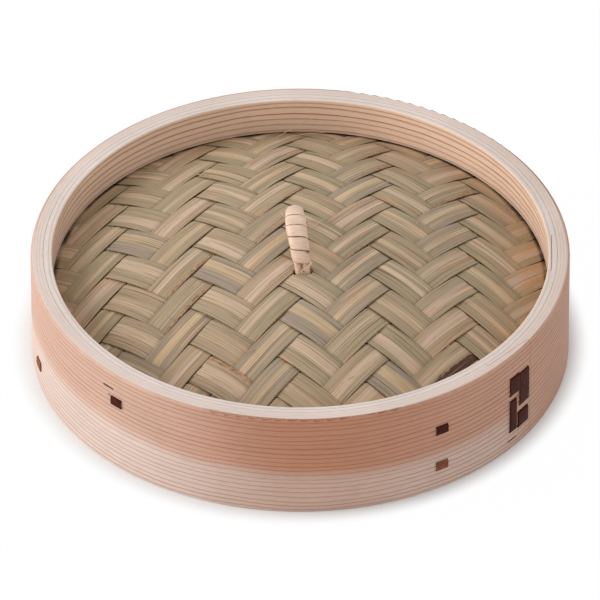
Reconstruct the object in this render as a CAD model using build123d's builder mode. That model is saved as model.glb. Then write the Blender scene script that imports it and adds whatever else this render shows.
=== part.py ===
from build123d import *
import os
from math import atan2, cos, degrees, dist, hypot, pi, radians, sin, tan

os.makedirs("parts", exist_ok=True)

# A steamer lid: two bent-wood hoops clamp a domed twill of split bamboo inside an outer hoop.
# Millimetres, +Z up, origin at the middle of the bottom edge, +Y away from the viewer.
# Angles round the wall start at the front (-Y) and grow towards +X.

# Hoops
outer_diameter = 240.0
lid_height = 51.8
outer_wall = 5.5
inner_wall = 3.9
hoop_clearance = 0.1
socket_depth = 7.0
rim_round = 1.5
edge_round = 0.7
scarf_length = 26.0
scarf_gap = 0.2
scarf_butt = 1.8
outer_scarf_angle = 57.8
upper_scarf_angle = 96.0
lower_scarf_angle = -118.0

# Woven dome
weave_recess = 19.4
dome_rise = 24.3
weave_angle = 50.85
strip_thickness = 0.7
strip_clearance = 0.2
float_crown = 0.5
clamp_clearance = 0.2
strip_end_clearance = 0.8
warp_count = 18
warp_gap = 0.9
warp_edge_room = 7.7
warp_shift = 1.165
weft_count = 14
weft_gap = 0.9
weft_edge_room = 10.285
weft_shift = 3.255
twill_step = 2
twill_phase = 1

# Bark ties and seam lace
bark_thickness = 0.6
bark_clearance = 0.1
tie_width = 6.0
tie_height = 4.2
upper_tie_margin = 0.3
middle_tie_lift = 0.3
lower_tie_margin = 3.1
right_tie_angle = 31.3
left_upper_tie_angle = -42.4
left_lower_tie_angle = -75.0
rear_tie_angles = (105.0, 150.0, -165.0, -120.0)
lace_width = 6.4
lace_gap = 0.93
lace_tail = 1.5
lace_angle = 51.9
left_lace_depths = (12.2, 21.6, 24.9, 41.9)
right_lace_depths = (12.9, 30.5, 34.3, 42.4)
spare_slit_depth = 2.0
left_spare_angle = -44.8
left_spare_height = 43.0
right_spare_angle = 51.4
right_spare_height = 4.9

# Handle loop
handle_x = -0.13
handle_y = -4.0
handle_turn = 4.5
handle_lean = 7.0
arch_radius = 17.0
cane_diameter = 3.1
cane_gap = 0.45
under_depth = 4.2
under_bend = 2.4
cane_stub = 6.0
rock_angle = 20.0
slot_clearance = 0.45
wrap_thickness = 0.6
wrap_clearance = 0.15
wrap_turns = 7
wrap_pitch = 20.0
wrap_gap = 2.0

# Sizes worked out from the ones above
outer_radius = outer_diameter / 2
outer_bore = outer_radius - outer_wall
hoop_radius = outer_bore - hoop_clearance
inner_bore = hoop_radius - inner_wall
weave_radius = outer_bore - strip_end_clearance
layer_offset = (strip_thickness + strip_clearance) / 2
weave_below = layer_offset + strip_thickness / 2
weave_above = weave_below + float_crown
weave_edge_height = lid_height - weave_recess
crown_height = weave_edge_height + dome_rise
warp_pitch = 2 * (weave_radius - warp_edge_room) / (warp_count - 1)
warp_width = warp_pitch - warp_gap
weft_pitch = 2 * (weave_radius - weft_edge_room) / (weft_count - 1)
weft_width = weft_pitch - weft_gap
half_slit = bark_thickness / 2 + bark_clearance
upper_tie_low = weave_edge_height + weave_above + clamp_clearance + upper_tie_margin + half_slit
middle_tie_low = weave_edge_height + middle_tie_lift - tie_height / 2
lower_tie_low = socket_depth + lower_tie_margin + half_slit
tie_inside = inner_bore - bark_clearance
tie_outside = outer_radius + bark_clearance
cane_radius = cane_diameter / 2
strand_offset = (cane_diameter + cane_gap) / 2


def dome_drop(offset):
    return dome_rise * (offset / inner_bore) ** 2


def dome_height(offset):
    return crown_height - dome_drop(offset)


def wall_point(angle, radius):
    turn = radians(angle)
    return radius * sin(turn), -radius * cos(turn)


def wall_plane(angle):
    turn = radians(angle)
    return Plane(origin=(0, 0, 0), x_dir=(sin(turn), -cos(turn), 0), z_dir=(-cos(turn), -sin(turn), 0))


def finish(builder, name):
    builder.part.label = name
    export_step(builder.part, f"parts/{name}.step")


# A stitch lies in the plane of a radius: stops are the heights where the bark passes through the wall.
tie_stops = {"upper": (upper_tie_low + tie_height, upper_tie_low)}
tie_stops["middle"] = (middle_tie_low + tie_height, middle_tie_low)
tie_stops["lower"] = (lower_tie_low + tie_height, lower_tie_low)
ties = [
    ("bark_tie_right_upper", right_tie_angle, "middle"),
    ("bark_tie_right_lower", right_tie_angle, "lower"),
    ("bark_tie_left_upper", left_upper_tie_angle, "upper"),
    ("bark_tie_left_lower", left_lower_tie_angle, "lower"),
]
for number, angle in enumerate(rear_tie_angles, start=1):
    ties.append((f"bark_tie_rear_{number}", angle, "lower"))
next_lace_angle = lace_angle + degrees((lace_width + lace_gap) / outer_radius)
laces = [
    ("seam_lace_left", lace_angle, [lid_height - depth for depth in left_lace_depths]),
    ("seam_lace_right", next_lace_angle, [lid_height - depth for depth in right_lace_depths]),
]
spare_slits = [(left_spare_angle, left_spare_height), (right_spare_angle, right_spare_height)]


def box_between(low_radius, high_radius, low_height, high_height):
    with Locations(((low_radius + high_radius) / 2, (low_height + high_height) / 2)):
        Rectangle(high_radius - low_radius, high_height - low_height)


def cut_slits(angle, stops, width, low_radius, high_radius):
    """Slits through the wall, one for each pass of the bark, with its clearance all round."""
    with BuildSketch(wall_plane(angle)) as slits:
        for stop in stops:
            box_between(low_radius, high_radius, stop - half_slit, stop + half_slit)
    extrude(slits.sketch, amount=width / 2 + bark_clearance, both=True, mode=Mode.SUBTRACT)


def saw_line(start, end):
    """A cut of the saw's width from one point to the other, a little longer at both ends."""
    length = hypot(end[0] - start[0], end[1] - start[1])
    slant = degrees(atan2(end[1] - start[1], end[0] - start[0]))
    with Locations(((start[0] + end[0]) / 2, (start[1] + end[1]) / 2)):
        Rectangle(length + scarf_gap, scarf_gap, rotation=slant)


def cut_scarf(angle, low_radius, high_radius):
    """A lap with blunt ends: square in from the outer face, slanted back, square to the inner face."""
    end_angle = angle - degrees(scarf_length / high_radius)
    outer_butt = wall_point(angle, high_radius - scarf_butt)
    inner_butt = wall_point(end_angle, low_radius + scarf_butt)
    with BuildSketch(Plane.XY) as lap:
        saw_line(wall_point(angle, high_radius + scarf_gap), outer_butt)
        saw_line(outer_butt, inner_butt)
        saw_line(inner_butt, wall_point(end_angle, low_radius - scarf_gap))
    extrude(lap.sketch, amount=lid_height, mode=Mode.SUBTRACT)


# Outer hoop: the lowest stretch of its bore is left free, to slip over a basket's collar
with BuildPart() as outer_hoop:
    with BuildSketch(Plane.XZ) as outer_section:
        box_between(outer_bore, outer_radius, 0, lid_height)
        rim_corner = outer_section.vertices().sort_by(Axis.X)[-2:].sort_by(Axis.Y)[-1]
        fillet(rim_corner, radius=min(rim_round, outer_wall / 2))
        foot_corner = outer_section.vertices().sort_by(Axis.Y)[:2].sort_by(Axis.X)[-1]
        fillet(foot_corner, radius=min(edge_round, outer_wall / 4))
    revolve(axis=Axis.Z)
    cut_scarf(outer_scarf_angle, outer_bore, outer_radius)
    for tie_name, tie_angle, level in ties:
        cut_slits(tie_angle, tie_stops[level], tie_width, inner_bore, outer_radius + bark_thickness)
    pocket_depth = bark_thickness + 2 * bark_clearance
    for lace_name, column_angle, lace_stops in laces:
        cut_slits(column_angle, lace_stops, lace_width, outer_bore, outer_radius + bark_thickness)
        with BuildSketch(wall_plane(column_angle)):
            pocket_low = min(lace_stops) - lace_tail - pocket_depth
            pocket_high = max(lace_stops) + lace_tail + pocket_depth
            box_between(inner_bore, outer_bore + pocket_depth, pocket_low, pocket_high)
        extrude(amount=lace_width / 2 + bark_clearance, both=True, mode=Mode.SUBTRACT)
    for slit_angle, slit_height in spare_slits:
        slit_floor = outer_radius - spare_slit_depth
        cut_slits(slit_angle, (slit_height,), tie_width, slit_floor, outer_radius + bark_thickness)
finish(outer_hoop, "outer_hoop")

# Upper inner hoop: its lower edge slants with the dome and presses on the weave
with BuildPart() as upper_inner_hoop:
    with BuildSketch(Plane.XZ) as upper_section:
        with BuildLine():
            Polyline(
                (inner_bore, dome_height(inner_bore) + weave_above + clamp_clearance),
                (hoop_radius, dome_height(hoop_radius) + weave_above + clamp_clearance),
                (hoop_radius, lid_height),
                (inner_bore, lid_height),
                close=True,
            )
        make_face()
        bore_corner = upper_section.vertices().sort_by(Axis.Y)[-2:].sort_by(Axis.X)[0]
        fillet(bore_corner, radius=min(edge_round, inner_wall / 4))
    revolve(axis=Axis.Z)
    cut_scarf(upper_scarf_angle, inner_bore, hoop_radius)
    for tie_name, tie_angle, level in ties:
        if level in ("upper", "middle"):
            cut_slits(tie_angle, tie_stops[level], tie_width, inner_bore - inner_wall, outer_bore)
finish(upper_inner_hoop, "upper_inner_hoop")

# Lower inner hoop: holds the weave up from below and stops at the top of the socket
with BuildPart() as lower_inner_hoop:
    with BuildSketch(Plane.XZ):
        with BuildLine():
            Polyline(
                (inner_bore, socket_depth),
                (hoop_radius, socket_depth),
                (hoop_radius, dome_height(hoop_radius) - weave_below - clamp_clearance),
                (inner_bore, dome_height(inner_bore) - weave_below - clamp_clearance),
                close=True,
            )
        make_face()
    revolve(axis=Axis.Z)
    cut_scarf(lower_scarf_angle, inner_bore, hoop_radius)
    for tie_name, tie_angle, level in ties:
        if level in ("lower", "middle"):
            cut_slits(tie_angle, tie_stops[level], tie_width, inner_bore - inner_wall, outer_bore)
finish(lower_inner_hoop, "lower_inner_hoop")

# Bark ties: each is a closed loop of bark through the outer hoop and one inner hoop, or, at the
# middle, through both of them and round the weave's edge
for tie_name, tie_angle, level in ties:
    high, low = tie_stops[level]
    with BuildPart() as bark_tie:
        with BuildSketch(wall_plane(tie_angle)):
            with Locations(((tie_inside + tie_outside) / 2, (low + high) / 2)):
                Rectangle(tie_outside - tie_inside + 2 * bark_thickness, high - low + bark_thickness)
                Rectangle(tie_outside - tie_inside, high - low - bark_thickness, mode=Mode.SUBTRACT)
        extrude(amount=tie_width / 2, both=True)
    finish(bark_tie, tie_name)

# Seam lace: one running stitch of bark in each column, outside at each odd span and inside between
lace_inside = outer_bore + bark_clearance
for lace_name, column_angle, lace_stops in laces:
    with BuildPart() as seam_lace:
        with BuildSketch(wall_plane(column_angle)):
            half_bark = bark_thickness / 2
            for stop in lace_stops:
                box_between(lace_inside, tie_outside + bark_thickness, stop - half_bark, stop + half_bark)
            for high, low in zip(lace_stops[::2], lace_stops[1::2]):
                box_between(tie_outside, tie_outside + bark_thickness, low - half_bark, high + half_bark)
            inside_spans = [(lace_stops[0] + lace_tail, lace_stops[0]), (lace_stops[1], lace_stops[2])]
            inside_spans.append((lace_stops[3], lace_stops[3] - lace_tail))
            for high, low in inside_spans:
                box_between(lace_inside, lace_inside + bark_thickness, low - half_bark, high + half_bark)
        extrude(amount=lace_width / 2, both=True)
    finish(seam_lace, lace_name)


# Handle frame: x runs from the near foot to the far one, y across the loop
near_foot_turn = radians(90 + handle_turn)
foot_offset_squared = handle_x**2 + handle_y**2 + arch_radius**2
pivot_height = crown_height - dome_rise * foot_offset_squared / inner_bore**2
handle_plane = Plane(origin=(handle_x, handle_y, 0), x_dir=(cos(near_foot_turn), sin(near_foot_turn), 0))
slot_reach = weave_above + slot_clearance
leg_half_width = strand_offset + cane_radius
rock = radians(rock_angle)
slot_length = 2 * (leg_half_width / cos(rock) + slot_reach * tan(rock) + slot_clearance)
slot_width = cane_diameter + 2 * slot_clearance


# Each strip is a wavy ribbon drawn in the upright plane along it. The dome is the same curve moved
# along itself, so the ribbon is pushed across its width on a slant and still follows the dome.
def float_spans(crossings, crossing_width):
    """Joins neighbouring crossings on one side into floats: start, end and side (+1 over)."""
    spans = []
    for place, side in crossings:
        if spans and spans[-1][2] == side:
            spans[-1][1] = place + crossing_width / 2
        else:
            spans.append([place - crossing_width / 2, place + crossing_width / 2, side])
    spans[0][0] = min(spans[0][0], -outer_radius)
    spans[-1][1] = max(spans[-1][1], outer_radius)
    return spans


def ribbon_face(spans, base, lift):
    """One face of a ribbon, in order from its start: an arc for each float, lines between them."""
    last_end = None
    for start, end, side in spans:
        middle = (start + end) / 2
        level = base + side * layer_offset + lift
        start_point = (start, level - dome_drop(start))
        end_point = (end, level - dome_drop(end))
        if last_end is not None:
            Line(last_end, start_point)
        crown = float_crown if side > 0 else 0
        ThreePointArc(start_point, (middle, level + crown - dome_drop(middle)), end_point)
        last_end = end_point


def weave_strip(name, angle, centre, width, crossings, crossing_width):
    turn = radians(angle)
    along = Vector(cos(turn), sin(turn), 0)
    across = Vector(-sin(turn), cos(turn), 0)
    near_edge = centre - width / 2
    far_edge = centre + width / 2
    push = across * width + Vector(0, 0, dome_drop(near_edge) - dome_drop(far_edge))
    base = crown_height - dome_drop(near_edge)
    spans = float_spans(crossings, crossing_width)
    with BuildPart() as strip:
        strip_plane = Plane(origin=across * near_edge, x_dir=along, z_dir=across * -1)
        with BuildSketch(strip_plane):
            with BuildLine():
                ribbon_face(spans, base, strip_thickness / 2)
                ribbon_face(spans, base, -strip_thickness / 2)
                for end, side in ((spans[0][0], spans[0][2]), (spans[-1][1], spans[-1][2])):
                    end_level = base + side * layer_offset - dome_drop(end)
                    Line((end, end_level - strip_thickness / 2), (end, end_level + strip_thickness / 2))
            make_face()
        extrude(amount=push.length, dir=push)
        with BuildSketch(Plane.XY):
            Circle(weave_radius)
        extrude(amount=2 * crown_height, mode=Mode.INTERSECT)
        with BuildSketch(handle_plane):
            with Locations((-arch_radius, 0), (arch_radius, 0)):
                SlotOverall(slot_length, slot_width, rotation=90)
        extrude(amount=2 * crown_height, mode=Mode.SUBTRACT)
        for tie_name, tie_angle, level in ties:
            if level == "middle":
                with BuildSketch(wall_plane(tie_angle)) as notch:
                    notch_floor = tie_inside - bark_thickness - bark_clearance
                    box_between(notch_floor, outer_radius, 0, crown_height)
                extrude(notch.sketch, amount=tie_width / 2 + bark_clearance, both=True, mode=Mode.SUBTRACT)
    finish(strip, name)


def strip_centres(count, pitch, shift):
    """Number and place of each strip, from one edge of the weave to the other."""
    first = shift - (count - 1) / 2 * pitch
    return [(number, first + (number - 1) * pitch) for number in range(1, count + 1)]


def warp_side(warp_number, weft_number):
    return 1 if (warp_number - weft_number + twill_phase) % (2 * twill_step) < twill_step else -1


warps = strip_centres(warp_count, warp_pitch, warp_shift)
wefts = strip_centres(weft_count, weft_pitch, weft_shift)
for warp_number, warp_centre in warps:
    weft_crossings = [(place, warp_side(warp_number, number)) for number, place in wefts]
    warp_name = f"warp_strip_{warp_number:02d}"
    weave_strip(warp_name, weave_angle, warp_centre, warp_width, weft_crossings, weft_width)
for weft_number, weft_centre in wefts:
    # A weft runs a quarter turn from the warps, so its own offset counts the other way.
    warp_crossings = [(place, -warp_side(number, weft_number)) for number, place in warps]
    weft_name = f"weft_strip_{weft_number:02d}"
    weave_strip(weft_name, weave_angle + 90, -weft_centre, weft_width, warp_crossings, warp_width)


# Handle cane: one cane bent into two turns side by side, through the weave and back below it
def loop_point(along, across, up):
    """A place on the handle, which rests leaning to the left about the line through its feet."""
    lean = radians(handle_lean)
    side = across * cos(lean) + up * sin(lean)
    rise = up * cos(lean) - across * sin(lean)
    return handle_plane.from_local_coords(Vector(along, side, pivot_height + rise))


foot = arch_radius
left_strand = strand_offset
right_strand = -strand_offset
with BuildPart() as handle_cane:
    with BuildLine() as cane_path:
        FilletPolyline(
            loop_point(cane_stub - foot, left_strand, -under_depth),
            loop_point(-foot, left_strand, -under_depth),
            loop_point(-foot, left_strand, 0),
            radius=under_bend,
        )
        ThreePointArc(
            loop_point(-foot, left_strand, 0),
            loop_point(0, left_strand, arch_radius),
            loop_point(foot, left_strand, 0),
        )
        FilletPolyline(
            loop_point(foot, left_strand, 0),
            loop_point(foot, left_strand, -under_depth),
            loop_point(-foot, right_strand, -under_depth),
            loop_point(-foot, right_strand, 0),
            radius=under_bend,
        )
        ThreePointArc(
            loop_point(-foot, right_strand, 0),
            loop_point(0, right_strand, arch_radius),
            loop_point(foot, right_strand, 0),
        )
        FilletPolyline(
            loop_point(foot, right_strand, 0),
            loop_point(foot, right_strand, -under_depth),
            loop_point(foot - cane_stub, right_strand, -under_depth),
            radius=under_bend,
        )
    with BuildSketch(Plane(origin=cane_path.line @ 0, z_dir=cane_path.line % 0)):
        Circle(cane_radius)
    sweep()
finish(handle_cane, "handle_cane")


# Handle wrap: a flat peel wound round both strands, eight flats to a turn
def wrap_corners(inset):
    """Corners of the eight-sided ring that clears both strands, as (across, outwards)."""
    flat = inset * tan(pi / 8)
    quarter = [(strand_offset + flat, inset), (strand_offset + inset, flat)]
    right = quarter + [(across, -out) for across, out in reversed(quarter)]
    return right + [(-across, -out) for across, out in right]


wrap_inner = wrap_corners(cane_radius + wrap_clearance)
wrap_outer = wrap_corners(cane_radius + wrap_clearance + wrap_thickness)
band_half = radians(wrap_pitch - wrap_gap) / 2
wrap_start = 90 - wrap_turns * wrap_pitch / 2


def wrap_middle(corner, turn):
    """Middle of the peel's edge-to-edge line, clear of the cane on both sides of the arch."""
    across, out = corner
    radius = arch_radius + out
    if out < 0:
        radius *= cos(band_half)
    return loop_point(-radius * cos(turn), across, radius * sin(turn))


band_edges = []
with BuildPart() as handle_wrap:
    for step in range(wrap_turns * len(wrap_inner) + 1):
        corner = step % len(wrap_inner)
        turn = radians(wrap_start + wrap_pitch * step / len(wrap_inner))
        inner_middle = wrap_middle(wrap_inner[corner], turn)
        outer_middle = wrap_middle(wrap_outer[corner], turn)
        outwards = outer_middle - inner_middle
        forwards = loop_point(sin(turn), 0, cos(turn)) - loop_point(0, 0, 0)
        inner_half = (arch_radius + wrap_inner[corner][1]) * tan(band_half)
        outer_half = (arch_radius + wrap_outer[corner][1]) * tan(band_half)
        with BuildSketch(Plane(origin=inner_middle, x_dir=forwards, z_dir=forwards.cross(outwards))):
            with BuildLine():
                Polyline(
                    (-inner_half, 0),
                    (inner_half, 0),
                    (outer_half, outwards.length),
                    (-outer_half, outwards.length),
                    close=True,
                )
            make_face()
        band_edges.append((inner_middle - forwards * inner_half, inner_middle + forwards * inner_half))
    loft(ruled=True)
finish(handle_wrap, "handle_wrap")

# Least gap between neighbouring turns, on points along their facing edges
turn_gaps = []
for step in range(len(band_edges) - len(wrap_inner)):
    for share in (0, 0.25, 0.5, 0.75):
        leading = band_edges[step][1] * (1 - share) + band_edges[step + 1][1] * share
        later = step + len(wrap_inner)
        later_next = min(later + 1, len(band_edges) - 1)
        trailing = band_edges[later][0] * (1 - share) + band_edges[later_next][0] * share
        turn_gaps.append(dist(tuple(leading), tuple(trailing)))
print(f"least gap between turns of the handle wrap: {min(turn_gaps):.2f} mm")
print(f"gap between the two strands of the handle cane: {cane_gap:.2f} mm")
print(f"handle turns about a line at height {pivot_height:.2f} mm")
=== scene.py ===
import math
import random

import bpy
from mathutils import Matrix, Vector, noise


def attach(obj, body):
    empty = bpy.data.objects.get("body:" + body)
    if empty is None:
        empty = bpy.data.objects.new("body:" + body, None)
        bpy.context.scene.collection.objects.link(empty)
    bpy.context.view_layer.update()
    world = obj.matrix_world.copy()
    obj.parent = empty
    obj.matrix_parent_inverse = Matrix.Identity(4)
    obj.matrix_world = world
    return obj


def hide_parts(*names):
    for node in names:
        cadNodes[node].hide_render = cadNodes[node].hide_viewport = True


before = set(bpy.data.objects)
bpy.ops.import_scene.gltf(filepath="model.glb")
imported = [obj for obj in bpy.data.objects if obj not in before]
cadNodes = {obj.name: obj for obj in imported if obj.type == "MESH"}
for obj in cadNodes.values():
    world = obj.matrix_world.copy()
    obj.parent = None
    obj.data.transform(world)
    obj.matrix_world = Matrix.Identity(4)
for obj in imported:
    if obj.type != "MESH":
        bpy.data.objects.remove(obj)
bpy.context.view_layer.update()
mm = 0.001
dice = random.Random(24)
print("frame loaded:", len(cadNodes), "nodes")


# small helpers

def rgb(red, green, blue):  # colour picker values, 0 to 255
    def linear(value):
        value = value / 255
        return value / 12.92 if value <= 0.04045 else ((value + 0.055) / 1.055) ** 2.4
    return (linear(red), linear(green), linear(blue), 1.0)


def ease(value):  # smooth 0 to 1
    value = min(max(value, 0.0), 1.0)
    return value * value * (3 - 2 * value)


def blendOf(first, second, share):
    return first + (second - first) * share


def addGrid(lengthFaces, widthFaces):
    bpy.ops.object.select_all(action="DESELECT")
    bpy.ops.mesh.primitive_grid_add(x_subdivisions=lengthFaces, y_subdivisions=widthFaces, size=2)
    return bpy.context.object


def pick(piece, *others):  # selects these alone, the first one active
    bpy.ops.object.select_all(action="DESELECT")
    for other in others:
        other.select_set(True)
    piece.select_set(True)
    bpy.context.view_layer.objects.active = piece


def applyModifiers(piece):
    pick(piece)
    for modifier in list(piece.modifiers):
        bpy.ops.object.modifier_apply(modifier=modifier.name)


def joinInto(host, others):
    pick(host, *others)
    bpy.ops.object.join()


def thicken(piece, thickness, offset):
    modifier = piece.modifiers.new("thickness", "SOLIDIFY")
    modifier.thickness = thickness * mm
    modifier.offset = offset
    modifier.use_even_offset = True
    applyModifiers(piece)


def smoothOut(piece, angle):
    pick(piece)
    bpy.ops.object.shade_smooth_by_angle(angle=math.radians(angle))


def setUv(piece, rows):  # one UV place for each vertex
    layer = piece.data.uv_layers.active
    for loop in piece.data.loops:
        layer.data[loop.index].uv = rows[loop.vertex_index]


def paint(piece, material):
    piece.data.materials.clear()
    piece.data.materials.append(material)


def dress(piece, name, material, body, slotName, *stands):
    piece.name = name
    piece.data.name = name
    paint(piece, material)
    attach(piece, body)
    if stands:
        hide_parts(*stands)


# node helpers: a plain number goes on the socket, anything else is linked

def plug(tree, socket, value):
    if value is None:
        return
    if isinstance(value, (int, float, tuple)):
        socket.default_value = value
    else:
        tree.links.new(value, socket)


def calc(tree, operation, first, second=None):
    node = tree.nodes.new("ShaderNodeMath")
    node.operation = operation
    for socket, value in zip(node.inputs, (first, second)):
        plug(tree, socket, value)
    return node.outputs[0]


def times(tree, first, second):
    return calc(tree, "MULTIPLY", first, second)


def plus(tree, first, second):
    return calc(tree, "ADD", first, second)


def minus(tree, first, second):
    return calc(tree, "SUBTRACT", first, second)


def awayOf(tree, x, y):  # distance from the lid's axis
    return calc(tree, "SQRT", plus(tree, times(tree, x, x), times(tree, y, y)))


def remap(tree, value, low, high, newLow=0.0, newHigh=1.0):
    node = tree.nodes.new("ShaderNodeMapRange")
    node.interpolation_type = "SMOOTHSTEP"
    for socket, part in zip(node.inputs, (value, low, high, newLow, newHigh)):
        plug(tree, socket, part)
    return node.outputs[0]


def joinXyz(tree, x, y, z):
    node = tree.nodes.new("ShaderNodeCombineXYZ")
    for socket, part in zip(node.inputs, (x, y, z)):
        plug(tree, socket, part)
    return node.outputs[0]


def noiseOf(tree, vector, scale, detail, rough=0.55):
    node = tree.nodes.new("ShaderNodeTexNoise")
    plug(tree, node.inputs["Vector"], vector)
    node.inputs["Scale"].default_value = scale
    node.inputs["Detail"].default_value = detail
    node.inputs["Roughness"].default_value = rough
    return node.outputs["Fac"]


def rampOf(tree, factor, stops):
    node = tree.nodes.new("ShaderNodeValToRGB")
    band = node.color_ramp
    while len(band.elements) < len(stops):
        band.elements.new(0.5)
    for element, (place, colour) in zip(band.elements, stops):
        element.position = place
        element.color = colour
    plug(tree, node.inputs["Fac"], factor)
    return node.outputs["Color"]


def mixOf(tree, factor, first, second, blend="MIX"):
    node = tree.nodes.new("ShaderNodeMix")
    node.data_type = "RGBA"
    node.blend_type = blend
    plug(tree, node.inputs[0], factor)
    plug(tree, node.inputs[6], first)
    plug(tree, node.inputs[7], second)
    return node.outputs[2]


def tint(tree, colour, factor, stops):  # multiplies a colour by a ramp
    return mixOf(tree, 1.0, colour, rampOf(tree, factor, stops), "MULTIPLY")


def attributeOf(tree, name):
    node = tree.nodes.new("ShaderNodeAttribute")
    node.attribute_name = name
    return node.outputs["Fac"]


def splitOf(tree, vector):
    node = tree.nodes.new("ShaderNodeSeparateXYZ")
    tree.links.new(vector, node.inputs[0])
    return node.outputs


def newFinish(name, roughness, specular):
    material = bpy.data.materials.new(name)
    material.use_nodes = True
    shader = material.node_tree.nodes["Principled BSDF"]
    shader.inputs["Roughness"].default_value = roughness
    shader.inputs["Specular IOR Level"].default_value = specular
    return material, material.node_tree, shader


def addBump(tree, shader, height, distance, strength):
    bump = tree.nodes.new("ShaderNodeBump")
    bump.inputs["Strength"].default_value = strength
    bump.inputs["Distance"].default_value = distance * mm
    tree.links.new(height, bump.inputs["Height"])
    tree.links.new(bump.outputs[0], shader.inputs["Normal"])


# bent cedar: growth rings cut by a ring coordinate that climbs with height and radius

hoopSet = {"rimHeight": 51.65, "brinkFrom": 118.3, "brinkTo": 118.9, "roughness": 0.62, "specular": 0.25}
cedarSet = {
    "outer": {
        "ring": 2.45, "lean": 1.7, "wander": 0.30, "drift": 3.4, "line": 0.78, "lineFrom": 0.52, "sapTop": 21.5,
        # pale on the left and sapLit are painted light, sapShadedRight is painted shade
        "heart": rgb(195, 138, 109), "pale": rgb(211, 173, 153), "heartLine": rgb(138, 79, 57),
        "sap": rgb(207, 176, 159), "sapLit": rgb(223, 201, 189), "sapShadedRight": rgb(199, 156, 133),
        "sapLine": rgb(163, 117, 95), "edge": rgb(233, 216, 206), "edgeLine": rgb(202, 176, 162),
        "mark": rgb(98, 56, 36),
        # dark marks at the slits: angle, height, half length and half height
        "marks": [(-44.8, 43.0, 3.3, 0.75), (-44.4, 38.9, 1.2, 0.35), (51.4, 4.9, 3.3, 0.7)],
    },
    "inner": {
        "ring": 3.0, "lean": 0.9, "wander": 0.26, "drift": 3.0, "line": 1.0, "lineFrom": 0.46, "sapTop": 12.0,
        # pale on the left and sapLit are painted light, sapShadedRight is painted shade
        "heart": rgb(242, 212, 188), "pale": rgb(244, 217, 194), "heartLine": rgb(186, 114, 70),
        "sap": rgb(236, 206, 182), "sapLit": rgb(238, 210, 188), "sapShadedRight": rgb(236, 206, 182),
        "sapLine": rgb(188, 124, 84), "edge": rgb(234, 221, 213), "edgeLine": rgb(204, 180, 168),
        "marks": [],
    },
}


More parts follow.
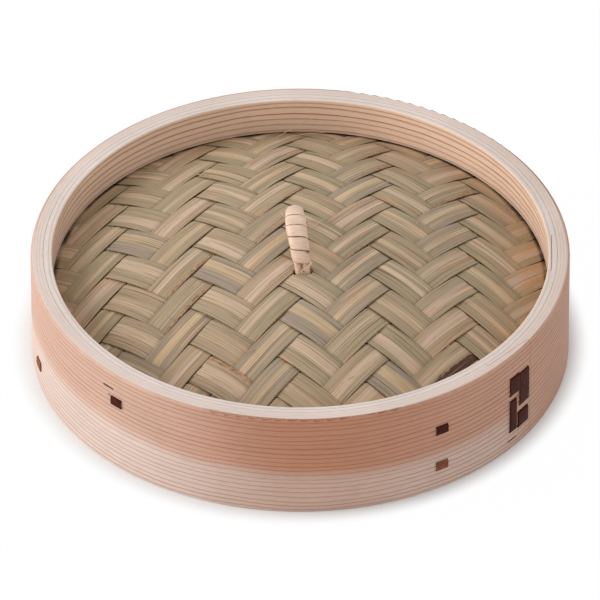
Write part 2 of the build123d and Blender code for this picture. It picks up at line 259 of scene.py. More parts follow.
def makeCedar(name, look):
    material, tree, shader = newFinish(name, hoopSet["roughness"], hoopSet["specular"])
    coordinates = tree.nodes.new("ShaderNodeTexCoord")
    x, y, z = splitOf(tree, coordinates.outputs["Object"])
    radius = awayOf(tree, x, y)
    circleX = calc(tree, "DIVIDE", x, radius)  # place round the hoop, with no jump
    circleY = calc(tree, "DIVIDE", y, radius)
    height = times(tree, z, 1 / mm)
    depth = times(tree, radius, 1 / mm)

    def hoopNoise(steepness, scale, detail):  # runs round the hoop
        return noiseOf(tree, joinXyz(tree, circleX, circleY, times(tree, height, steepness)), scale, detail)

    # rings: a slow climb with a dark line at the end of each
    slow = hoopNoise(0.03, 1.6, 2.0)
    fast = hoopNoise(0.10, 7.0, 2.0)
    climb = plus(tree, height, times(tree, depth, look["lean"]))
    climb = plus(tree, climb, times(tree, slow, look["drift"]))
    climb = plus(tree, climb, times(tree, fast, look["wander"]))
    ringPlace = calc(tree, "DIVIDE", climb, look["ring"])
    spread = noiseOf(tree, joinXyz(tree, times(tree, ringPlace, 0.55), 0.0, 0.0), 1.0, 1.0)
    ringPlace = plus(tree, ringPlace, times(tree, spread, 0.9))
    ring = calc(tree, "FRACT", ringPlace)
    ringStep = calc(tree, "FLOOR", ringPlace)
    ringDepth = noiseOf(tree, joinXyz(tree, times(tree, ringStep, 7.3), 0.0, 0.0), 1.0, 0.0)
    rise = remap(tree, ring, look["lineFrom"], 0.93)
    fall = remap(tree, ring, 0.94, 1.0, 1.0, 0.0)
    line = times(tree, calc(tree, "POWER", rise, 1.8), fall)
    line = times(tree, line, remap(tree, ringDepth, 0.25, 0.75, 0.5, 1.0))
    fibreVector = joinXyz(tree, times(tree, circleX, 26.0), times(tree, circleY, 26.0), times(tree, climb, 2.6))
    fibre = noiseOf(tree, fibreVector, 1.0, 5.0, 0.62)

    # pale sapwood below, the cut edge of the board on the rim
    sapEdge = plus(tree, height, times(tree, slow, 5.0))
    sapEdge = plus(tree, sapEdge, times(tree, fast, 1.2))
    sapEdge = plus(tree, sapEdge, times(tree, circleX, 3.0))
    sap = remap(tree, sapEdge, look["sapTop"] - 1.5, look["sapTop"] + 7.5, 1.0, 0.0)
    top = remap(tree, height, hoopSet["rimHeight"] - 0.12, hoopSet["rimHeight"] + 0.10)
    brink = remap(tree, depth, hoopSet["brinkFrom"], hoopSet["brinkTo"])
    brink = times(tree, brink, remap(tree, circleY, -0.1, 0.4))  # back edge of the rim
    top = times(tree, top, minus(tree, 1.0, brink))
    # painted light: heartwood and sapwood paler on the left where the lamp lights the wall, sapwood paler right
    # of the middle; painted shade: sapwood darker on the far right
    litLeftSide = remap(tree, circleX, -0.62, 0.0, 1.0, 0.0)
    rightSide = remap(tree, circleX, 0.12, 0.8, 0.0, 0.6)
    heart = mixOf(tree, calc(tree, "MAXIMUM", litLeftSide, rightSide), look["heart"], look["pale"])
    white = mixOf(tree, litLeftSide, look["sap"], look["sapLit"])
    white = mixOf(tree, remap(tree, circleX, 0.15, 0.5, 0.0, 0.5), white, look["sapLit"])
    white = mixOf(tree, remap(tree, circleX, 0.70, 0.92), white, look["sapShadedRight"])
    plain = mixOf(tree, sap, heart, white)
    dull = remap(tree, circleX, 0.4, 0.9, 0.0, 0.2)  # duller on the right
    plain = mixOf(tree, top, plain, mixOf(tree, dull, look["edge"], look["edgeLine"]))
    dark = mixOf(tree, sap, look["heartLine"], look["sapLine"])
    dark = mixOf(tree, top, dark, look["edgeLine"])
    strength = remap(tree, circleX, 0.2, 0.9, look["line"], min(1.0, look["line"] * 1.3))
    colour = mixOf(tree, times(tree, line, strength), plain, dark)
    colour = tint(tree, colour, fibre, [(0.22, (0.84, 0.82, 0.80, 1)), (0.5, (1, 1, 1, 1)),
                                        (0.8, (1.05, 1.05, 1.05, 1))])
    patch = hoopNoise(0.02, 3.0, 3.0)
    colour = tint(tree, colour, patch, [(0.3, (0.94, 0.93, 0.92, 1)), (0.7, (1.04, 1.03, 1.03, 1))])

    for angle, level, halfLength, halfHeight in look["marks"]:
        turn = math.radians(angle)
        sideways = plus(tree, times(tree, x, math.cos(turn) / mm), times(tree, y, math.sin(turn) / mm))
        outward = minus(tree, times(tree, x, math.sin(turn)), times(tree, y, math.cos(turn)))
        ragged = plus(tree, height, times(tree, minus(tree, fibre, 0.5), 1.6))
        offLevel = calc(tree, "ABSOLUTE", minus(tree, ragged, level))
        lengthFade = remap(tree, calc(tree, "ABSOLUTE", sideways), halfLength * 0.8, halfLength, 0.8, 0.0)
        heightFade = remap(tree, offLevel, halfHeight * 0.5, halfHeight, 1.0, 0.0)
        mark = times(tree, times(tree, lengthFade, heightFade), calc(tree, "GREATER_THAN", outward, 0.0))
        colour = mixOf(tree, mark, colour, look["mark"])
    tree.links.new(colour, shader.inputs["Base Color"])
    addBump(tree, shader, minus(tree, fibre, times(tree, line, 0.8)), 0.10, 0.5)
    return material


cedarOuter = makeCedar("cedar_outer", cedarSet["outer"])
cedarInner = makeCedar("cedar_inner", cedarSet["inner"])
for nodeName, finish in (("outer_hoop", cedarOuter), ("upper_inner_hoop", cedarInner),
                         ("lower_inner_hoop", cedarInner)):
    paint(cadNodes[nodeName], finish)
print("cedar hoops dressed")


# split bamboo: fibres run along the strip, a straw band lies between greyer borders

bambooSet = {
    "border": rgb(170, 150, 121), "borderGrey": rgb(159, 144, 128), "borderWarm": rgb(188, 160, 133),
    "borderGreen": rgb(166, 151, 120), "band": rgb(198, 173, 140), "bandWarm": rgb(205, 180, 160),
    "rust": rgb(186, 124, 82), "blush": rgb(206, 160, 122), "split": rgb(92, 68, 48),
    # leftShade is painted shade from the left wall
    "raggedDark": rgb(128, 92, 64), "raggedPale": rgb(188, 150, 118), "leftShade": rgb(112, 94, 70),
    # edge is the strips' own edge colour, partly painted shade between the strips
    "amber": rgb(198, 150, 98), "skin": rgb(84, 54, 42), "edge": rgb(104, 82, 60), "gap": rgb(52, 38, 28),
    "facts": ("seed", "bandLow", "bandHigh", "bandShow", "thinLine", "warm", "grey", "fringe", "skin"),
}


def makeBamboo(name, look):
    material, tree, shader = newFinish(name, 0.6, 0.2)
    uv = tree.nodes.new("ShaderNodeUVMap")
    along, across = splitOf(tree, uv.outputs[0])[:2]
    coordinates = tree.nodes.new("ShaderNodeTexCoord")
    x, y = splitOf(tree, coordinates.outputs["Object"])[:2]
    facts = {fact: attributeOf(tree, fact) for fact in look["facts"]}
    seed = times(tree, facts["seed"], 60.0)
    wander = noiseOf(tree, joinXyz(tree, times(tree, along, 2.6), 0.0, seed), 1.0, 1.0)
    place = plus(tree, across, times(tree, minus(tree, wander, 0.5), 0.09))

    def grain(alongScale, acrossScale, shift, detail, rough=0.55):
        vector = joinXyz(tree, times(tree, along, alongScale), times(tree, place, acrossScale),
                         plus(tree, seed, shift))
        return noiseOf(tree, vector, 1.0, detail, rough)

    hair = grain(3.2, 33.0, 0.0, 3.0, 0.65)
    streak = grain(1.3, 17.0, 5.0, 3.0)
    broad = grain(2.0, 4.0, 11.0, 2.0)
    fleck = grain(15.0, 11.0, 17.0, 3.0, 0.6)
    crack = grain(1.1, 24.0, 23.0, 1.0)
    pits = grain(46.0, 16.0, 29.0, 4.0, 0.7)

    # a straw band and a thin line on the border's colour
    fromLow = minus(tree, place, facts["bandLow"])
    fromHigh = minus(tree, place, facts["bandHigh"])
    inside = times(tree, remap(tree, fromLow, -0.025, 0.02), remap(tree, fromHigh, -0.02, 0.025, 1.0, 0.0))
    inside = times(tree, inside, facts["bandShow"])
    fromLine = calc(tree, "ABSOLUTE", minus(tree, place, facts["thinLine"]))
    thin = remap(tree, fromLine, 0.02, 0.05, 0.75, 0.0)
    green = remap(tree, facts["seed"], 0.60, 0.72, 0.0, 0.5)  # some strips are greener
    border = mixOf(tree, facts["grey"], look["border"], look["borderGrey"])
    border = mixOf(tree, times(tree, facts["warm"], 0.6), border, look["borderWarm"])
    border = mixOf(tree, green, border, look["borderGreen"])
    middle = mixOf(tree, facts["warm"], look["band"], look["bandWarm"])
    colour = mixOf(tree, calc(tree, "MAXIMUM", inside, thin), border, middle)

    # stains, streaks and splits along the fibres
    rust = times(tree, remap(tree, fleck, 0.55, 0.72), remap(tree, broad, 0.48, 0.66))
    rust = times(tree, rust, plus(tree, times(tree, facts["warm"], 0.55), 0.15))
    colour = mixOf(tree, rust, colour, look["rust"])
    blush = remap(tree, grain(4.2, 4.5, 37.0, 2.0), 0.60, 0.72, 0.0, 0.6)
    colour = mixOf(tree, blush, colour, look["blush"])
    colour = tint(tree, colour, streak, [(0.30, (0.74, 0.72, 0.69, 1)), (0.44, (1, 1, 1, 1)),
                                         (0.72, (1.10, 1.09, 1.07, 1))])
    colour = tint(tree, colour, hair, [(0.32, (0.58, 0.55, 0.51, 1)), (0.45, (1, 1, 1, 1)),
                                       (0.66, (1.14, 1.13, 1.12, 1))])
    colour = tint(tree, colour, broad, [(0.3, (0.90, 0.89, 0.87, 1)), (0.7, (1.07, 1.06, 1.05, 1))])
    split = times(tree, remap(tree, crack, 0.67, 0.695), remap(tree, broad, 0.35, 0.55))
    colour = mixOf(tree, times(tree, split, 0.75), colour, look["split"])
    ragged = plus(tree, across, times(tree, minus(tree, fleck, 0.5), 0.22))
    ragged = times(tree, remap(tree, ragged, 0.10, 0.16, 1.0, 0.0), facts["fringe"])
    rough = mixOf(tree, remap(tree, pits, 0.34, 0.60), look["raggedDark"], look["raggedPale"])
    colour = mixOf(tree, times(tree, ragged, remap(tree, broad, 0.42, 0.52)), colour, rough)

    # painted shade: darker to the left, in the left wall's shadow; amber to the right, one patch of dark skin
    colour = mixOf(tree, remap(tree, x, -0.10, 0.0, 0.13, 0.0), colour, look["leftShade"])
    amber = times(tree, remap(tree, x, 0.080, 0.106), remap(tree, broad, 0.44, 0.62, 0.05, 0.5))
    colour = mixOf(tree, amber, colour, look["amber"])
    skin = remap(tree, plus(tree, across, times(tree, fleck, 0.5)), 0.50, 0.58, 1.0, 0.0)
    skin = times(tree, skin, remap(tree, streak, 0.32, 0.40, 0.25, 1.0))
    fromSkin = calc(tree, "ABSOLUTE", plus(tree, along, 0.04))
    skin = times(tree, skin, remap(tree, fromSkin, 0.16, 0.24, 1.0, 0.0))
    colour = mixOf(tree, times(tree, skin, facts["skin"]), colour, look["skin"])
    # partly the split edge's own colour, partly painted shade: darker along both edges of each strip
    edge = calc(tree, "MINIMUM", across, minus(tree, 1.0, across))
    colour = mixOf(tree, remap(tree, edge, 0.0, 0.02, 0.35, 0.0), colour, look["edge"])

    # painted light: paler in the middle of the dome; painted shadow in the gap at the hoop
    away = awayOf(tree, x, y)
    colour = tint(tree, colour, times(tree, away, 10.0), [(0.35, (1.06, 1.06, 1.07, 1)),
                                                          (0.85, (0.98, 0.98, 0.97, 1))])
    # painted shadow where the strips run under the hoop
    gap = remap(tree, noiseOf(tree, joinXyz(tree, x, y, 0.0), 52.0, 2.0), 0.40, 0.58, 0.25, 0.9)
    gap = times(tree, remap(tree, away, 0.1078, 0.1096), gap)
    colour = mixOf(tree, gap, colour, look["gap"])
    tree.links.new(colour, shader.inputs["Base Color"])
    relief = plus(tree, plus(tree, hair, times(tree, streak, 0.8)), broad)
    relief = minus(tree, relief, plus(tree, split, times(tree, ragged, pits)))
    addBump(tree, shader, relief, 0.14, 0.6)
    return material


bamboo = makeBamboo("split_bamboo", bambooSet)

weaveSet = {
    "angle": 50.85, "reach": 113.5, "crown": 56.7, "rise": 24.3, "bore": 110.5, "beyond": 120.0,
    "thick": 0.66, "layer": 0.45, "arch": 0.68, "camber": 0.05, "clampFrom": 98.0, "clampTo": 108.0,
    "warp": {"count": 18, "pitch": 12.4706, "width": 11.8, "shift": 1.165},
    "weft": {"count": 14, "pitch": 15.91, "width": 15.25, "shift": 3.255},
    # places across a strip and how far its edges are rounded down there
    "rounding": [(0.0, 0.08), (0.010, 0.02), (0.03, 0.0), (0.13, 0.0), (0.31, 0.0), (0.5, 0.0),
                 (0.69, 0.0), (0.87, 0.0), (0.97, 0.0), (0.990, 0.02), (1.0, 0.08)],
    "faceLength": 1.3, "smooth": 38, "trim": 1.2, "widthPlay": 0.2, "placePlay": 0.1, "edgeWander": 0.16,
    "ripple": 0.05, "fringeShare": 0.12, "skinStrip": "bamboo_warp_02",
    "notch": {"angle": 31.3, "width": 6.3, "inside": 109.1, "outside": 122.0, "height": 32, "half": 9},
}
handleSet = {
    "middle": (-0.13, -4.0), "turn": 94.5, "lean": 7.0, "radius": 17.0, "pivot": 56.09,
    "strand": 1.775, "cane": 1.55, "slotLength": 9.25, "slotWidth": 4.0, "slotHalf": 9,
    "turns": 7, "firstTurn": 28.0, "turnStep": 18.3, "bandAngle": 17.8,
}


def domeAt(x, y):
    return weaveSet["crown"] - weaveSet["rise"] * (x * x + y * y) / weaveSet["bore"] ** 2


def stripPlaces(look):
    first = look["shift"] - (look["count"] - 1) / 2 * look["pitch"]
    return [first + step * look["pitch"] for step in range(look["count"])]


def warpSide(warpNumber, weftNumber):
    return 1 if (warpNumber - weftNumber + 1) % 4 < 2 else -1


def floatsOf(places, sides, width):
    spans = []
    for place, side in zip(places, sides):
        if spans and spans[-1][2] == side:
            spans[-1][1] = place + width / 2
        else:
            spans.append([place - width / 2, place + width / 2, side])
    spans[0][0] = min(spans[0][0], -weaveSet["beyond"])
    spans[-1][1] = max(spans[-1][1], weaveSet["beyond"])
    return spans


def levelAt(place, spans, arch):
    layer = weaveSet["layer"]
    for number, (start, end, side) in enumerate(spans):
        if place <= end or number == len(spans) - 1:
            if place >= start:
                share = (place - start) / (end - start)
                return side * layer + (arch * 4 * share * (1 - share) if side > 0 else 0.0)
            before = spans[number - 1]
            share = ease((place - before[1]) / (start - before[1]))
            return blendOf(before[2] * layer, side * layer, share)


def handlePoint(along, across, up):
    turn = math.radians(handleSet["turn"])
    x = handleSet["middle"][0] + along * math.cos(turn) - across * math.sin(turn)
    y = handleSet["middle"][1] + along * math.sin(turn) + across * math.cos(turn)
    return Vector((x, y, handleSet["pivot"] + up)) * mm


def archPoint(turn, radius, across):  # on the arch, which leans to the left at rest
    lean = math.radians(handleSet["lean"])
    up = radius * math.sin(turn)
    return handlePoint(-radius * math.cos(turn), across * math.cos(lean) + up * math.sin(lean),
                       up * math.cos(lean) - across * math.sin(lean))


def makeSlotCutter(foot):
    bpy.ops.object.select_all(action="DESELECT")
    bpy.ops.mesh.primitive_cylinder_add(vertices=32, radius=1.0, depth=2.0)
    cutter = bpy.context.object
    half = handleSet["slotWidth"] / 2
    stretch = (handleSet["slotLength"] - handleSet["slotWidth"]) / 2
    for vertex in cutter.data.vertices:
        side = vertex.co.y * half + (stretch if vertex.co.y > 0 else -stretch)
        vertex.co = handlePoint(foot + vertex.co.x * half, side, vertex.co.z * handleSet["slotHalf"])
    return cutter


def makeNotchCutter(look):  # room for the bark that goes round the weave's edge
    bpy.ops.object.select_all(action="DESELECT")
    bpy.ops.mesh.primitive_cube_add(size=2)
    cutter = bpy.context.object
    turn = math.radians(look["angle"])
    for vertex in cutter.data.vertices:
        radius = look["inside"] if vertex.co.x < 0 else look["outside"]
        side = vertex.co.y * look["width"] / 2
        vertex.co = Vector((radius * math.sin(turn) + side * math.cos(turn),
                            -radius * math.cos(turn) + side * math.sin(turn),
                            look["height"] + vertex.co.z * look["half"])) * mm
    return cutter


cutters = [makeSlotCutter(-handleSet["radius"]), makeSlotCutter(handleSet["radius"]),
           makeNotchCutter(weaveSet["notch"])]


def softPath(points, corner, steps=5):  # each corner becomes a small bend
    made = [points[0]]
    for before, here, after in zip(points, points[1:], points[2:]):
        inward = (before - here).normalized() * min(corner, (before - here).length / 2)
        outward = (after - here).normalized() * min(corner, (after - here).length / 2)
        for step in range(steps + 1):
            share = step / steps
            made.append(here + inward * (1 - share) ** 2 + outward * share ** 2)
    made.append(points[-1])
    return made


def dividePath(points, spacing):
    made = [points[0]]
    for start, end in zip(points, points[1:]):
        pieces = max(1, math.ceil((end - start).length / spacing))
        made += [start.lerp(end, step / pieces) for step in range(1, pieces + 1)]
    return made


whiskerSet = {
    "faces": 12, "width": 0.16, "taper": 0.6, "thick": 0.16,
    "lines": [  # loose fibres: both ends and the bow between them
        ((-10.8, 103.0, 36.2), (8.9, 106.0, 46.5), 0.8), ((-13.0, 102.0, 36.0), (14.0, 104.5, 38.5), 0.5),
        ((-44.7, 61.5, 46.6), (-38.5, 66.0, 49.5), 0.8), ((-46.5, 62.5, 46.4), (-40.0, 61.0, 47.6), 0.5),
        ((6.0, 9.0, 58.2), (13.0, 14.0, 60.0), 1.0), ((-4.0, 14.0, 58.0), (-9.0, 19.0, 59.6), 0.7),
        ((60.0, -62.0, 42.4), (66.0, -57.0, 43.8), 0.7), ((72.0, -30.0, 45.4), (79.0, -26.0, 46.0), 0.6),
        ((-60.0, -40.0, 47.4), (-56.0, -47.0, 48.6), 0.8), ((-20.0, -66.0, 48.6), (-27.0, -69.0, 49.6), 0.7),
        ((34.0, 47.0, 51.2), (41.0, 51.0, 52.2), 0.6), ((-78.0, 18.0, 45.0), (-72.0, 24.0, 46.4), 0.7),
        ((52.0, 20.0, 51.8), (57.0, 27.0, 52.6), 0.6), ((18.0, -84.0, 43.2), (24.0, -80.0, 44.8), 0.6),
    ],
}


def makeWhisker(start, end, bow, across):
    whisker = addGrid(whiskerSet["faces"], 1)
    for corner in whisker.data.uv_layers.active.data:
        corner.uv = (0.3, across)
    start, end = Vector(start), Vector(end)
    flat = Vector((start.y - end.y, end.x - start.x, 0)).normalized()
    for vertex in whisker.data.vertices:
        share = (vertex.co.x + 1) / 2
        width = whiskerSet["width"] * (1 - whiskerSet["taper"] * share)
        spot = start.lerp(end, share) + flat * (vertex.co.y * width + bow * math.sin(math.pi * share))
        vertex.co = spot * mm
    thicken(whisker, whiskerSet["thick"], 0.0)
    return whisker


def makeStrip(name, turn, centre, look, spans, node):
    angle = math.radians(turn)
    along = Vector((math.cos(angle), math.sin(angle), 0))
    sideways = Vector((-math.sin(angle), math.cos(angle), 0))
    rounding = weaveSet["rounding"]
    widthFaces = len(rounding) - 1
    lengthFaces = round(2 * math.sqrt(weaveSet["reach"] ** 2 - centre ** 2) / weaveSet["faceLength"])
    strip = addGrid(lengthFaces, widthFaces)
    seed = dice.random()
    width = look["width"] + dice.uniform(-weaveSet["widthPlay"], weaveSet["widthPlay"])
    centre = centre + dice.uniform(-weaveSet["placePlay"], weaveSet["placePlay"])
    room = weaveSet["reach"] - weaveSet["trim"]  # the last strips are trimmed by the hoop
    low, high = max(centre - width / 2, -room), min(centre + width / 2, room)
    clampRoom = weaveSet["clampTo"] - weaveSet["clampFrom"]
    uvRow = {}
    for vertex in strip.data.vertices:
        u = (vertex.co.x + 1) / 2
        share, drop = rounding[round((vertex.co.y + 1) / 2 * widthFaces)]
        wander = weaveSet["edgeWander"] * noise.noise(Vector((u * 14, share * 1.5, seed * 50)))
        t = blendOf(low, high, share) + wander
        s = (2 * u - 1) * math.sqrt(weaveSet["reach"] ** 2 - t * t)
        uvRow[vertex.index] = (s / 100, share)
        spot = along * s + sideways * t
        clamp = 1 - ease((spot.length - weaveSet["clampFrom"]) / clampRoom)
        level = levelAt(s, spans, weaveSet["arch"] * (0.5 + 0.5 * clamp))  # flatter between the hoops
        ripple = weaveSet["ripple"] * noise.noise(Vector((u * 40, share * 2, seed * 50 + 9)))
        z = domeAt(spot.x, spot.y) + level - weaveSet["camber"] * (2 * share - 1) ** 2 - drop + ripple
        vertex.co = Vector((spot.x, spot.y, z)) * mm
    setUv(strip, uvRow)
    thicken(strip, weaveSet["thick"], 0.0)
    for cutter in cutters:
        foot = sum((Vector(corner) for corner in cutter.bound_box), Vector()) / 8 / mm
        if abs(foot.dot(sideways) - centre) < width / 2 + handleSet["slotLength"] / 2:
            cut = strip.modifiers.new("slot", "BOOLEAN")
            cut.object = cutter
            cut.operation = "DIFFERENCE"
            cut.solver = "EXACT"
            applyModifiers(strip)
    middle = dice.uniform(0.32, 0.68)
    half = dice.uniform(0.09, 0.2)
    loose = [line for line in whiskerSet["lines"] if look is weaveSet["warp"]
             and abs(Vector(line[0]).dot(sideways) - centre) <= look["pitch"] / 2]
    joinInto(strip, [makeWhisker(*line, middle) for line in loose])
    smoothOut(strip, weaveSet["smooth"])
    facts = {"seed": seed, "bandLow": middle - half, "bandHigh": middle + half,
             "bandShow": dice.choice((0.4, 0.85, 1.0, 1.0)), "thinLine": dice.uniform(-0.3, 1.3),
             "warm": dice.random(), "grey": dice.random(),
             "fringe": 1.0 if dice.random() < weaveSet["fringeShare"] else 0.0,
             "skin": 1.0 if name == weaveSet["skinStrip"] else 0.0}
    for fact, value in facts.items():
        attribute = strip.data.attributes.new(fact, "FLOAT", "POINT")
        attribute.data.foreach_set("value", [value] * len(strip.data.vertices))
    dress(strip, name, bamboo, "lid", "bamboo", node)


warpPlaces = stripPlaces(weaveSet["warp"])
weftPlaces = stripPlaces(weaveSet["weft"])
for number, centre in enumerate(warpPlaces, start=1):
    sides = [warpSide(number, other) for other in range(1, len(weftPlaces) + 1)]
    spans = floatsOf(weftPlaces, sides, weaveSet["weft"]["width"])
    makeStrip(f"bamboo_warp_{number:02d}", weaveSet["angle"], centre, weaveSet["warp"], spans,
              f"warp_strip_{number:02d}")
for number, centre in enumerate(weftPlaces, start=1):
    sides = [-warpSide(other, number) for other in range(1, len(warpPlaces) + 1)]
    spans = floatsOf(warpPlaces, sides, weaveSet["warp"]["width"])
    makeStrip(f"bamboo_weft_{number:02d}", weaveSet["angle"] + 90, -centre, weaveSet["weft"], spans,
              f"weft_strip_{number:02d}")
for cutter in cutters:
    bpy.data.objects.remove(cutter)
print("weave made:", len(warpPlaces), "warps and", len(weftPlaces), "wefts")


# bark: dark ribbons with fine streaks along them

def makeBark(name, deep, lift):
    material, tree, shader = newFinish(name, 0.5, 0.06)
    uv = tree.nodes.new("ShaderNodeUVMap")
    along, across = splitOf(tree, uv.outputs[0])[:2]
    coordinates = tree.nodes.new("ShaderNodeTexCoord")
    patch = noiseOf(tree, coordinates.outputs["Object"], 420.0, 3.0)
    streakVector = joinXyz(tree, times(tree, along, 6.0), times(tree, across, 26.0), patch)
    streak = noiseOf(tree, streakVector, 1.0, 4.0)
    colour = rampOf(tree, streak, [(0.3, deep), (0.72, lift)])
    colour = tint(tree, colour, patch, [(0.3, (0.7, 0.68, 0.68, 1)), (0.7, (1.15, 1.12, 1.1, 1))])
    tree.links.new(colour, shader.inputs["Base Color"])
    addBump(tree, shader, plus(tree, streak, patch), 0.10, 0.5)
    return material


barkDark = makeBark("bark_dark", rgb(44, 16, 9), rgb(92, 43, 28))
barkRed = makeBark("bark_red", rgb(104, 56, 42), rgb(168, 110, 84))

barkSet = {
    "outside": 120.42, "inside": 110.0, "laceInside": 115.05, "width": 6.0, "laceWidth": 6.4, "thick": 0.5,
    "corner": 0.55, "spacing": 0.45, "widthFaces": 8, "smooth": 50, "swell": 0.22, "uneven": 0.035,
    "tieEnds": (0.3, 0.35),  # the bark's two ends, below the middle of a tie
    "redTies": ("right_lower", "left_lower"),
    # angle, upper and lower slit of each tie
    "ties": [("right_upper", 31.3, 34.8, 30.6), ("right_lower", 31.3, 14.7, 10.5),
             ("left_upper", -42.4, 38.8, 34.6), ("left_lower", -75.0, 14.7, 10.5),
             ("rear_1", 105.0, 14.7, 10.5), ("rear_2", 150.0, 14.7, 10.5),
             ("rear_3", -165.0, 14.7, 10.5), ("rear_4", -120.0, 14.7, 10.5)],
    # angle and slits of each column of the lacing
    "laces": [("left", 51.9, (39.6, 30.2, 26.9, 9.9)), ("right", 55.4, (38.9, 21.3, 17.5, 9.4))],
    "laceTail": 1.4,
    # how far the left and right edge stand out above and below a height
    "laceEdges": {"left": {"height": 28.5, "above": (0.0, 0.3), "below": (0.0, -1.9)},
                  "right": {"height": 19.5, "above": (-0.4, 0.0), "below": (-1.5, -0.4)}},
}


def makeRibbon(name, angle, points, width, swellAt, material, node, edges=None):
    path = dividePath(softPath(points, barkSet["corner"]), barkSet["spacing"])
    ribbon = addGrid(len(path) - 1, barkSet["widthFaces"])
    seed = dice.random() * 50
    turn = math.radians(angle)
    radial = Vector((math.sin(turn), -math.cos(turn), 0))
    sideways = Vector((math.cos(turn), math.sin(turn), 0))
    for vertex in ribbon.data.vertices:
        step = round((vertex.co.x + 1) / 2 * (len(path) - 1))
        share = vertex.co.y
        radius, height = path[step]
        uneven = 1 + barkSet["uneven"] * noise.noise(Vector((step * 0.16, math.copysign(3, share), seed)))
        swell = barkSet["swell"] * swellAt(radius, height) * (1 - 0.6 * share * share)
        side = share * width / 2 * uneven
        if edges:
            lower = ease((edges["height"] + 1 - height) / 2)
            side += blendOf(edges["above"][share > 0], edges["below"][share > 0], lower) * abs(share)
        spot = radial * (radius + swell) + sideways * side
        vertex.co = Vector((spot.x, spot.y, height)) * mm
    thicken(ribbon, barkSet["thick"], 0.0)
    smoothOut(ribbon, barkSet["smooth"])
    dress(ribbon, name, material, "lid", "bark", node)


def outsideSwell(stops):  # the bark bows out between two slits
    def swellAt(radius, height):
        if radius < barkSet["outside"] - 0.3:
            return 0.0
        for high, low in zip(stops[::2], stops[1::2]):
            if low <= height <= high:
                return math.sin(math.pi * (height - low) / (high - low)) ** 0.6
        return 0.0
    return swellAt


for tieName, angle, high, low in barkSet["ties"]:
    middle = (high + low) / 2
    inside, outside = barkSet["inside"], barkSet["outside"]
    firstEnd, lastEnd = (middle - drop for drop in barkSet["tieEnds"])
    points = [Vector(pair) for pair in ((inside, firstEnd), (inside, high), (outside, high), (outside, low),
                                        (inside, low), (inside, lastEnd))]
    material = barkRed if tieName in barkSet["redTies"] else barkDark
    makeRibbon(f"bark_stitch_{tieName}", angle, points, barkSet["width"], outsideSwell((high, low)), material,
               f"bark_tie_{tieName}")
for laceName, angle, stops in barkSet["laces"]:
    inside, outside = barkSet["laceInside"], barkSet["outside"]
    points = [Vector((inside, stops[0] + barkSet["laceTail"]))]
    for number, stop in enumerate(stops):  # out through one slit and in through the next
        order = (inside, outside) if number % 2 == 0 else (outside, inside)
        points += [Vector((order[0], stop)), Vector((order[1], stop))]
    points += [Vector((inside, stops[-1] - barkSet["laceTail"]))]
    makeRibbon(f"bark_lacing_{laceName}", angle, points, barkSet["laceWidth"], outsideSwell(stops), barkDark,
               f"seam_lace_{laceName}", barkSet["laceEdges"][laceName])
print("bark stitches and lacing made")


# handle: two strands of cane under a wound peel

rattanSet = {
    "pale": rgb(240, 212, 190), "deep": rgb(222, 186, 160), "seam": rgb(122, 78, 52),
    "cane": [(0.25, rgb(206, 162, 130)), (0.5, rgb(232, 198, 172)), (0.75, rgb(240, 212, 190))],
}


def makePeel(name, look):
    material, tree, shader = newFinish(name, 0.42, 0.4)
    uv = tree.nodes.new("ShaderNodeUVMap")
    along, across = splitOf(tree, uv.outputs[0])[:2]
    coordinates = tree.nodes.new("ShaderNodeTexCoord")
    patch = noiseOf(tree, coordinates.outputs["Object"], 260.0, 3.0)
    streakVector = joinXyz(tree, times(tree, along, 9.0), times(tree, across, 14.0), 0.0)
    streak = noiseOf(tree, streakVector, 1.0, 4.0)
    colour = rampOf(tree, streak, [(0.28, look["deep"]), (0.62, look["pale"])])
    colour = tint(tree, colour, patch, [(0.3, (0.9, 0.88, 0.86, 1)), (0.7, (1.06, 1.05, 1.04, 1))])
    edge = calc(tree, "MINIMUM", across, minus(tree, 1.0, across))
    seam = times(tree, remap(tree, edge, 0.0, 0.075, 0.9, 0.0), remap(tree, patch, 0.36, 0.56, 0.4, 1.0))
    colour = mixOf(tree, seam, colour, look["seam"])
    tree.links.new(colour, shader.inputs["Base Color"])
    addBump(tree, shader, plus(tree, streak, patch), 0.08, 0.4)
    return material


def makeCane(name, look):
    material, tree, shader = newFinish(name, 0.45, 0.4)
    coordinates = tree.nodes.new("ShaderNodeTexCoord")
    patch = noiseOf(tree, coordinates.outputs["Object"], 300.0, 4.0)
    tree.links.new(rampOf(tree, patch, look["cane"]), shader.inputs["Base Color"])
    addBump(tree, shader, patch, 0.10, 0.4)
    return material


peel = makePeel("rattan_peel", rattanSet)
cane = makeCane("rattan_cane", rattanSet)
paint(cadNodes["handle_cane"], cane)

windingSet = {
    "facesPerTurn": 44, "widthFaces": 10, "smooth": 50, "clear": 0.12, "thick": 0.5,
    "pillow": 0.14, "shingle": 0.10, "uneven": 0.9, "sway": 0.7, "dents": 0.08,
    "tailTurns": 0.5, "tailDrop": 9.0, "tailTaper": 0.75, "taperRate": 1.5,
    # degrees along the arch: where each change begins or lies, and how far it spreads
    "pastFrom": 72, "pastOver": 46, "pastSwell": 0.42, "squareness": 1.9, "topSquareness": 1.0,
    "swellAt": 76, "swellSpread": 24, "topSwell": 0.7,
    "crownFrom": 86, "crownOver": 36, "crown": 0.16, "topCrown": 0.6,
    "bulgeAt": 36, "bulgeSpread": 20, "rightBulge": 0.5,
}


def bellOf(value, middle, spread):
    return math.exp(-((value - middle) / spread) ** 2)


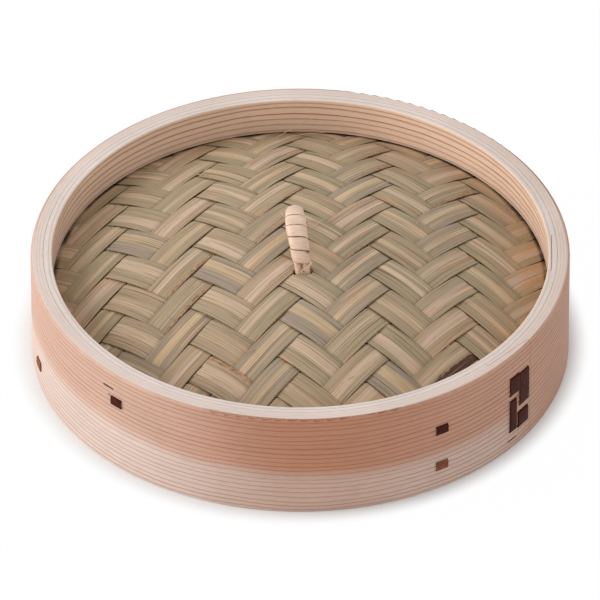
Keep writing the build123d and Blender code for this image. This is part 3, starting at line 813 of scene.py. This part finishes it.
def makeWinding(look):
    turns = handleSet["turns"]
    tail = look["tailTurns"]
    band = addGrid(round((turns + tail) * look["facesPerTurn"]), look["widthFaces"])
    base = handleSet["cane"] + look["clear"] + look["thick"]
    uvRow = {}
    for vertex in band.data.vertices:
        count = blendOf(-tail, turns, (vertex.co.x + 1) / 2)  # turns wound so far, the tail below nought
        share = vertex.co.y
        uvRow[vertex.index] = (count / 2, (share + 1) / 2)
        around = 2 * math.pi * count
        ending = max(0.0, -count / tail)
        lap = handleSet["bandAngle"] * (1 - look["tailTaper"] * ease(ending * look["taperRate"]))
        lap += look["uneven"] * noise.noise(Vector((count * 2.3, math.copysign(4, share), 7)))
        turn = handleSet["firstTurn"] + handleSet["turnStep"] * count - look["tailDrop"] * ending
        turn += share * lap / 2
        turn += look["sway"] * noise.noise(Vector((count * 1.4, 0, 3)))
        turn = math.radians(turn)
        degree = math.degrees(turn)
        past = ease((degree - look["pastFrom"]) / look["pastOver"])  # grows over the top to the far side
        swell = look["topSwell"] * bellOf(degree, look["swellAt"], look["swellSpread"])
        swell += look["pastSwell"] * past
        out = base + look["pillow"] * (1 - share * share) + look["shingle"] * share
        out += look["dents"] * noise.noise(Vector((count * 3.1, share * 1.2, 15)))
        crown = blendOf(look["crown"], look["topCrown"], ease((degree - look["crownFrom"]) / look["crownOver"]))
        out += crown * max(math.cos(around), 0.0) ** 3
        square = blendOf(look["squareness"], look["topSquareness"], past)
        side = handleSet["strand"] * math.tanh(square * math.sin(around))
        bulge = 0.0
        if math.sin(around) < 0:
            bulge = look["rightBulge"] * bellOf(degree, look["bulgeAt"], look["bulgeSpread"])
        across = side + (out + swell + bulge) * math.sin(around)
        vertex.co = archPoint(turn, handleSet["radius"] + out * math.cos(around), across)
    setUv(band, uvRow)
    thicken(band, look["thick"], 1.0)
    smoothOut(band, look["smooth"])
    return band


tailSet = {
    "corner": 1.2, "bendSteps": 4, "widthFaces": 3, "taper": 0.5, "clear": 0.12, "thick": 0.22, "smooth": 50,
    "strands": [  # loose ends of the peel at the near foot: turn, across, lift for each place
        {"width": 0.9, "places": [(19, -4.5, 0.35), (15, -3.4, 0.55), (11.5, -1.2, 0.7), (9, 0.5, 0.6),
                                  (5, 0.6, 0.5), (-3, -0.2, 0.9)]},
        {"width": 0.35, "places": [(9, 0.4, 0.6), (3, -0.6, 0.9), (-2, -1.6, 1.3), (-4, -2.7, 1.6)]},
        {"width": 0.3, "places": [(4, 0.5, 0.6), (-1, 0.2, 1.3), (-4, 0.9, 1.9), (-3, 1.9, 2.2)]},
        {"width": 0.3, "places": [(2, 0.2, 0.7), (-3, -0.9, 1.6), (-5, -0.3, 2.3), (-3, 0.6, 2.6)]},
    ],
}


def makeTail(look):
    path = softPath([Vector(place) for place in look["places"]], tailSet["corner"], tailSet["bendSteps"])
    last = len(path) - 1
    strand = addGrid(last, tailSet["widthFaces"])
    for vertex in strand.data.vertices:
        step = round((vertex.co.x + 1) / 2 * last)
        turn, across, lift = path[step]
        after, before = path[min(step + 1, last)], path[max(step - 1, 0)]
        forward = math.radians(after.x - before.x) * handleSet["radius"]
        heading = Vector((forward, after.y - before.y)).normalized()
        thin = 1 - tailSet["taper"] * step / last
        half = vertex.co.y * look["width"] / 2 * thin
        turn = math.radians(turn) - heading.y * half / handleSet["radius"]
        radius = handleSet["radius"] + handleSet["cane"] + lift + tailSet["clear"]
        vertex.co = archPoint(turn, radius, across + heading.x * half)
    thicken(strand, tailSet["thick"], 0.0)
    smoothOut(strand, tailSet["smooth"])
    return strand


winding = makeWinding(windingSet)
joinInto(winding, [makeTail(look) for look in tailSet["strands"]])
dress(winding, "rattan_winding", peel, "handle", "rattan", "handle_wrap")
print("handle made")


# floor, light and camera

stageSet = {"floor": 8.0, "paper": (0.86, 0.86, 0.86, 1), "white": (1, 1, 1, 1),
            "shadowFrom": 0.1185, "shadowTo": 0.130, "keep": 0.988,
            "ambient": 0.73, "keyPlace": (-1.75, -0.1, 0.75), "keySize": 1.3, "keyPower": 20.5}
cameraSet = {"elevation": 38.316, "distance": 6.15, "lens": 827.15, "sensor": 36, "clipEnd": 50,
             "aim": (-0.00011, 0.0, 0.02418)}

bpy.ops.object.select_all(action="DESELECT")
bpy.ops.mesh.primitive_plane_add(size=stageSet["floor"])
floor = bpy.context.object
floor.name = "floor"
floorPaper = bpy.data.materials.new("floor_paper")
floorPaper.use_nodes = True
tree = floorPaper.node_tree
tree.nodes.remove(tree.nodes["Principled BSDF"])
paper = tree.nodes.new("ShaderNodeBsdfDiffuse")
paper.inputs["Color"].default_value = stageSet["paper"]
glow = tree.nodes.new("ShaderNodeEmission")
glow.inputs["Color"].default_value = stageSet["white"]
rays = tree.nodes.new("ShaderNodeLightPath")
seen = calc(tree, "MAXIMUM", rays.outputs["Is Camera Ray"], rays.outputs["Is Glossy Ray"])
seen = calc(tree, "MAXIMUM", seen, rays.outputs["Is Transmission Ray"])
coordinates = tree.nodes.new("ShaderNodeTexCoord")
# white to the eye, but the shadow close to the lid stays
away = awayOf(tree, *splitOf(tree, coordinates.outputs["Object"])[:2])
fade = remap(tree, away, stageSet["shadowFrom"], stageSet["shadowTo"], 0.0, stageSet["keep"])
mixer = tree.nodes.new("ShaderNodeMixShader")
tree.links.new(times(tree, seen, fade), mixer.inputs[0])
tree.links.new(paper.outputs[0], mixer.inputs[1])
tree.links.new(glow.outputs[0], mixer.inputs[2])
tree.links.new(mixer.outputs[0], tree.nodes["Material Output"].inputs["Surface"])
floor.data.materials.append(floorPaper)

world = bpy.data.worlds.new("studio")
bpy.context.scene.world = world
world.use_nodes = True
sky = world.node_tree.nodes["Background"]
sky.inputs["Color"].default_value = stageSet["white"]
sky.inputs["Strength"].default_value = stageSet["ambient"]

bpy.ops.object.light_add(type="AREA", location=stageSet["keyPlace"])
key = bpy.context.object
key.name = "key"
key.data.shape = "DISK"
key.data.size = stageSet["keySize"]
key.data.energy = stageSet["keyPower"]
key.rotation_euler = (-Vector(stageSet["keyPlace"])).to_track_quat("-Z", "Y").to_euler()

tilt = math.radians(cameraSet["elevation"])
back = Vector((0, -math.cos(tilt), math.sin(tilt)))
bpy.ops.object.camera_add(location=Vector(cameraSet["aim"]) + back * cameraSet["distance"],
                          rotation=(math.pi / 2 - tilt, 0, 0))
camera = bpy.context.object
camera.data.sensor_width = cameraSet["sensor"]
camera.data.lens = cameraSet["lens"]
camera.data.clip_end = cameraSet["clipEnd"]
bpy.context.scene.camera = camera
bpy.context.scene.view_settings.view_transform = "Standard"
print("stage set")

bpy.context.view_layer.update()
print("pieces done")
